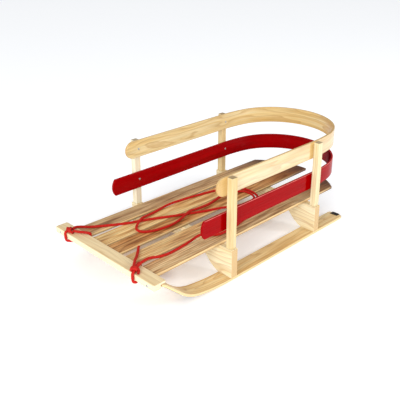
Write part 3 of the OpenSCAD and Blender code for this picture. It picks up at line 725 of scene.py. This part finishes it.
# --- crossbar: an L section with rounded corners in plan
def crossbar():
    bm = bmesh.new()
    r = 5.0
    plan = arc(HALF_W - r, BAR_Y0 + r, r, 270, 360, 6) + arc(HALF_W - r, BAR_Y1 - r, r, 0, 90, 6) \
        + arc(-HALF_W + r, BAR_Y1 - r, r, 90, 180, 6) + arc(-HALF_W + r, BAR_Y0 + r, r, 180, 270, 6)
    vs = [bm.verts.new((x, y, 96)) for x, y in plan]
    f = bm.faces.new(vs)
    g = bmesh.ops.extrude_face_region(bm, geom=[f])
    bmesh.ops.translate(bm, vec=(0, 0, 6), verts=[v for v in g["geom"] if isinstance(v, bmesh.types.BMVert)])
    # the front part goes down to z 86
    bmesh.ops.bisect_plane(bm, geom=bm.verts[:] + bm.edges[:] + bm.faces[:], plane_co=(0, RAB_Y, 0), plane_no=(0, 1, 0), dist=1e-4)
    down = [f for f in bm.faces if f.calc_center_median().z < 96.01 and f.calc_center_median().y < RAB_Y and abs(f.normal.z) > 0.9]
    g = bmesh.ops.extrude_face_region(bm, geom=down)
    bmesh.ops.translate(bm, vec=(0, 0, -10), verts=[v for v in g["geom"] if isinstance(v, bmesh.types.BMVert)])
    bmesh.ops.delete(bm, geom=down, context="FACES_ONLY")
    bmesh.ops.remove_doubles(bm, verts=bm.verts[:], dist=1e-4)
    bmesh.ops.recalc_face_normals(bm, faces=bm.faces[:])
    sharp = [e for e in bm.edges if len(e.link_faces) == 2 and e.calc_face_angle() > math.radians(28)]
    bmesh.ops.bevel(bm, geom=sharp, offset=2.0, segments=4, profile=0.5, affect="EDGES", clamp_overlap=True)
    for c in range(-180, 181, 60):
        bmesh.ops.bisect_plane(bm, geom=bm.verts[:] + bm.edges[:] + bm.faces[:], plane_co=(c, 0, 0), plane_no=(1, 0, 0), dist=1e-4)
    bm.normal_update()
    me = bpy.data.meshes.new("front_crossbar_wood")
    W, E, N, F = [], [], [], []
    for v in bm.verts:
        n = v.normal
        E.append(1.0 if max(abs(n.x), abs(n.y), abs(n.z)) < 0.93 else 0.0)
        N.append(0.6 if abs(n.x) > 0.8 else 0.0)
        # front face and ends take the paler side colour: painted light
        F.append(1.0 if n.y < -0.4 or abs(n.x) > 0.4 else 0.0)
        W.append(((v.co.x + 900) * MM, (v.co.y + 419 + 12) * MM, (v.co.z - 86 + 46) * MM))
        v.co *= MM
    bm.to_mesh(me)
    bm.free()
    store(me, wood=W, edge=E, endgrain=N, side=F)
    me.shade_smooth()
    return weighted(add("front_crossbar_wood", me, BAR, ["front_crossbar"]))


crossbar()


# --- bent strips
def path_table(segs):
    """segs: ("line", p, q) or ("arc", centre, r, a0, a1). Returns at(s) -> (point, tangent) and the length."""
    parts, total = [], 0.0
    for g in segs:
        if g[0] == "line":
            p, q = Vector(g[1]), Vector(g[2])
            ln = (q - p).length
            parts.append((total, ln, g[0], p, (q - p).normalized()))
        else:
            c, r, a0, a1 = Vector(g[1]), g[2], math.radians(g[3]), math.radians(g[4])
            ln = abs(a1 - a0) * r
            parts.append((total, ln, g[0], c, r, a0, a1))
        total += ln

    def at(s):
        for p in parts:
            if s <= p[0] + p[1] + 1e-9 or p is parts[-1]:
                k = s - p[0]
                if p[2] == "line":
                    return p[3] + p[4] * k, p[4]
                _, ln, _, c, r, a0, a1 = p
                a = a0 + (a1 - a0) * k / ln
                sg = 1 if a1 > a0 else -1
                return c + Vector((math.cos(a), math.sin(a))) * r, Vector((-math.sin(a), math.cos(a))) * sg
    return at, total


RAIL_OUT, R1, R2, RT = 177.0, 450.0, 172.0, 6.5
RQ = R1 - R2
RA = math.degrees(math.acos((R1 - RAIL_OUT) / RQ))


def rail(name, node, y0, z, h, front, r, mat, shift, bevel):
    cy = y0 + RQ * math.sin(math.radians(RA))
    at, total = path_table([("line", (RAIL_OUT, -front), (RAIL_OUT, y0)),
                            ("arc", (RAIL_OUT - R1, y0), R1, 0, RA),
                            ("arc", (0, cy), R2, RA, 180 - RA),
                            ("arc", (R1 - RAIL_OUT, y0), R1, 180 - RA, 180),
                            ("line", (-RAIL_OUT, y0), (-RAIL_OUT, -front))])
    ea = math.degrees(math.asin(min(1.0, h / 2 / r)))
    out = arc(r, h / 2, r, 180 + ea, 180 - ea, 24) + arc(total - r, h / 2, r, ea, -ea, 24)
    clean = []
    for p in out:
        if not clean or (abs(p[0] - clean[-1][0]) + abs(p[1] - clean[-1][1])) > 0.05:
            clean.append(p)
    out = list(reversed(clean))

    def put(s, b, c):
        p, t = at(s)
        nrm = Vector((t.y, -t.x))          # outwards
        q = p - nrm * (RT - c)
        return (q.x, q.y, z + b)

    s0, s1 = front + y0, total - front - y0
    cuts = [s0 + (s1 - s0) * k / 84 for k in range(0, 85)] + [60, 140, 220, total - 60, total - 140, total - 220]
    me = board(name, out, RT, put, shift, bevel=bevel, segs=3, cuts=sorted(cuts))
    return weighted(add(name, me, mat, [node]))


rail("top_rail_wood", "top_rail", 191, 233, 50, 198.5, 25.0, RAILW, (310, -20, 34), 1.4)
rail("lower_rail_lacquered", "lower_rail", 195, 140, 48.5, 249, 37, RED, (1200, -24, 40), 1.5)


def runner_path(end_len):
    lift_r, lift_a, nose_r, slope = 648.0, 9.5, 119.0, 41.3
    lc = Vector((-166, RUN_Z + lift_r))
    npt = lc - Vector((math.sin(math.radians(lift_a)), math.cos(math.radians(lift_a)))) * lift_r
    nc = npt + Vector((math.sin(math.radians(lift_a)), math.cos(math.radians(lift_a)))) * nose_r
    cp = nc - Vector((math.sin(math.radians(slope)), math.cos(math.radians(slope)))) * nose_r
    cu = Vector((-math.cos(math.radians(slope)), math.sin(math.radians(slope))))
    cn = Vector((-math.sin(math.radians(slope)), -math.cos(math.radians(slope))))
    tip_r = 12.0
    tip_len = (DECK_Z - cp.y) / math.sin(math.radians(slope)) - tip_r * math.tan(math.radians(slope / 2))
    tc = cp + cu * tip_len + cn * tip_r
    segs = [("line", (337.5, RUN_Z), (-166, RUN_Z)),
            ("arc", lc, lift_r, 270, 270 - lift_a),
            ("arc", nc, nose_r, 270 - lift_a, 270 - slope),
            ("line", cp, cp + cu * tip_len)]
    if end_len is None:
        segs += [("arc", tc, tip_r, 90 - slope, 90), ("line", (tc.x, DECK_Z), (RAB_Y, DECK_Z))]
    else:
        segs[-1] = ("line", cp, cp + cu * (tip_len - end_len))
    return path_table(segs)


for side, sn in ((1, "left"), (-1, "right")):
    at, total = runner_path(None)
    # plan of the strip: rounded rear corners, tip cut back on the inside
    r = 9.0
    out = arc(r, r, r, 180, 270, 8) + [(total - 30, 0), (total - 27, 9.5), (total - 2.2, 9.5), (total - 2.2, 48)] + arc(r, 48 - r, r, 90, 180, 8)

    def put(s, b, c, side=side, at=at):
        p, t = at(s)
        nrm = Vector((t.y, -t.x))
        if nrm.y > 0:
            nrm = -nrm                      # downwards
        q = p + nrm * (6.5 - c)
        return (side * (151 + b), q.x, q.y)

    cuts = [480 + 10 * k for k in range(12)] + [600 + 5.5 * k for k in range(18)] + [total - 60, total - 45] + [total - 38 + 1.6 * k for k in range(14)]
    me = board(f"runner_{sn}_wood", out, 6.5, put, (random.uniform(0, 900), random.uniform(-40, -10), 30), bevel=1.3, segs=3,
               cuts=sorted(c for c in cuts if c < total - 4))
    weighted(add(f"runner_{sn}_wood", me, GOLD, [f"runner_{sn}"]))

# --- CAD nodes that keep their own mesh
for sn in ("left", "right"):
    o = bpy.data.objects[f"runner_shoe_{sn}"] if f"runner_shoe_{sn}" in bpy.data.objects else None
    if o:
        for s in o.material_slots:
            s.material = SHOE
for nm in ("top_rail_screws", "lower_rail_screws", "crossbar_screws"):
    for s in bpy.data.objects[nm].material_slots:
        s.material = SCREW


# ------------------------------------------------------------------ knots
def wrap(c, axis, r, rz, n, pitch, start, flick=None):
    """Turns of rope wound round the strands at c, which run along axis on the bar's top."""
    ax = Vector((axis[0], axis[1], 0)).normalized()
    px = Vector((ax.y, -ax.x, 0))
    k = int(n * 10)
    out = []
    for i in range(k + 1):
        a = start + 2 * math.pi * n * i / k
        out.append(Vector(c) + px * r * math.cos(a) + Vector((0, 0, rz * math.sin(a))) + ax * pitch * n * (i / k - 0.5))
    if flick:
        out += [Vector(q) for q in flick]
    return out


knot("rope_knot_left_tied", [wrap((122, -412, 109.0), (-0.69, 0.72), 7.2, 3.9, 1.5, 6.4, 0.2),
                             [(115, -418, 106), (117, -415.5, 109), (121, -411, 113.5), (126, -406.5, 112), (130, -406, 107.5), (134, -409.5, 105.8), (137, -413.5, 105.6)]],
     1, "rope_knot_left", LOOP_L, TAIL_L)
knot("rope_knot_right_tied", [wrap((-144.5, -411, 109.0), (0.55, 0.84), 6.6, 3.9, 1.5, 6.4, 1.0),
                              [(-155, -407, 105.8), (-153, -410, 108.5), (-148.5, -413.5, 113), (-142, -415, 112), (-138, -413, 107.8), (-133.5, -410.5, 105.8), (-130, -410, 105.6)]],
     -1, "rope_knot_right", LOOP_R)

# ------------------------------------------------------------------ floor and light
bm = bmesh.new()
bmesh.ops.create_grid(bm, x_segments=4, y_segments=4, size=6)
fm = bpy.data.meshes.new("floor")
bm.to_mesh(fm)
bm.free()
floor = bpy.data.objects.new("floor", fm)
scene.collection.objects.link(floor)
fn = Nodes("floor")
# the paper glows a little, as a lit backdrop does; under the deck the glow is taken off and the colour browned, a
# painted shadow, with a darker, greyer painted shadow spot just behind the bar, and toward the front the glow rises,
# painted light under and ahead of the bar
fx, fy, fz = fn.split(fn.new("ShaderNodeTexCoord").outputs["Object"])
painted_deck_shadow = fn.math("MULTIPLY", fn.maprange(fx, -0.33, -0.28, 0.0, 1.0), fn.maprange(fx, 0.0, 0.07, 1.0, 0.0))
painted_deck_shadow = fn.math("MULTIPLY", painted_deck_shadow, fn.maprange(fy, -0.310, -0.290, 0.0, 1.0))
painted_deck_shadow = fn.math("MULTIPLY", painted_deck_shadow, fn.maprange(fy, 0.18, 0.26, 1.0, 0.0))
# painted shadow spot under the deck just behind the bar
painted_shadow_spot = fn.math("SQRT", fn.math("ADD", fn.math("POWER", fn.math("DIVIDE", fn.math("ADD", fx, -0.046), 0.055), 2.0),
                              fn.math("POWER", fn.math("DIVIDE", fn.math("ADD", fy, 0.272), 0.045), 2.0)))
painted_shadow_spot = fn.maprange(painted_shadow_spot, 0.10, 1.0, 1.0, 0.0)
fn.link(fn.mix(fn.math("MULTIPLY", painted_shadow_spot, 0.6), fn.mix(painted_deck_shadow, (0.90, 0.92, 0.95, 1), (0.87, 0.80, 0.75, 1)), (0.64, 0.60, 0.64, 1)),
        fn.bsdf.inputs["Base Color"])
# emission off in the painted shadows, raised under and ahead of the bar as painted light
fn.link(fn.math("MULTIPLY", fn.math("SUBTRACT", 1.0, fn.math("MAXIMUM", painted_deck_shadow, painted_shadow_spot)), fn.maprange(fy, -0.34, -0.31, 0.34, 0.26)), fn.bsdf.inputs["Emission Strength"])
fn.bsdf.inputs["Roughness"].default_value = 0.9
fn.bsdf.inputs["Specular IOR Level"].default_value = 0.1
fn.bsdf.inputs["Emission Color"].default_value = (1, 1, 1, 1)
fm.materials.append(fn.mat)

world = bpy.data.worlds.new("studio")
scene.world = world
world.use_nodes = True
wt = world.node_tree
wt.nodes.clear()
sky, dim, mixer = wt.nodes.new("ShaderNodeBackground"), wt.nodes.new("ShaderNodeBackground"), wt.nodes.new("ShaderNodeMixShader")
ray, wout = wt.nodes.new("ShaderNodeLightPath"), wt.nodes.new("ShaderNodeOutputWorld")
sky.inputs[0].default_value = (1.0, 1.0, 1.0, 1)
sky.inputs[1].default_value = 0.70
dim.inputs[0].default_value = (1.0, 1.0, 1.0, 1)
dim.inputs[1].default_value = 0.30
wt.links.new(ray.outputs["Is Glossy Ray"], mixer.inputs[0])
wt.links.new(sky.outputs[0], mixer.inputs[1])
wt.links.new(dim.outputs[0], mixer.inputs[2])
seen, white = wt.nodes.new("ShaderNodeMixShader"), wt.nodes.new("ShaderNodeBackground")
white.inputs[1].default_value = 1.0
wt.links.new(ray.outputs["Is Camera Ray"], seen.inputs[0])
wt.links.new(mixer.outputs[0], seen.inputs[1])
wt.links.new(white.outputs[0], seen.inputs[2])
wt.links.new(seen.outputs[0], wout.inputs[0])
white.inputs[0].default_value = (1.0, 1.0, 1.0, 1)


def area(name, loc, aim, size, energy, color=(1, 1, 1)):
    d = bpy.data.lights.new(name, "AREA")
    d.shape = "DISK"
    d.size = size
    d.energy = energy
    d.color = color
    o = bpy.data.objects.new(name, d)
    scene.collection.objects.link(o)
    o.location = loc
    o.rotation_euler = (Vector(aim) - Vector(loc)).to_track_quat("-Z", "Y").to_euler()
    return o


area("key", (1.6, -4.0, 2.0), (0, 0, 0.1), 2.2, 100)
area("right", (2.9, 1.9, 1.5), (0, 0, 0.15), 0.8, 41)
area("low", (1.2, -2.6, 0.35), (0, 0, 0.1), 1.2, 9)
scene.view_settings.view_transform = "Standard"
scene.view_settings.look = "None"
scene.view_settings.exposure = 0.0
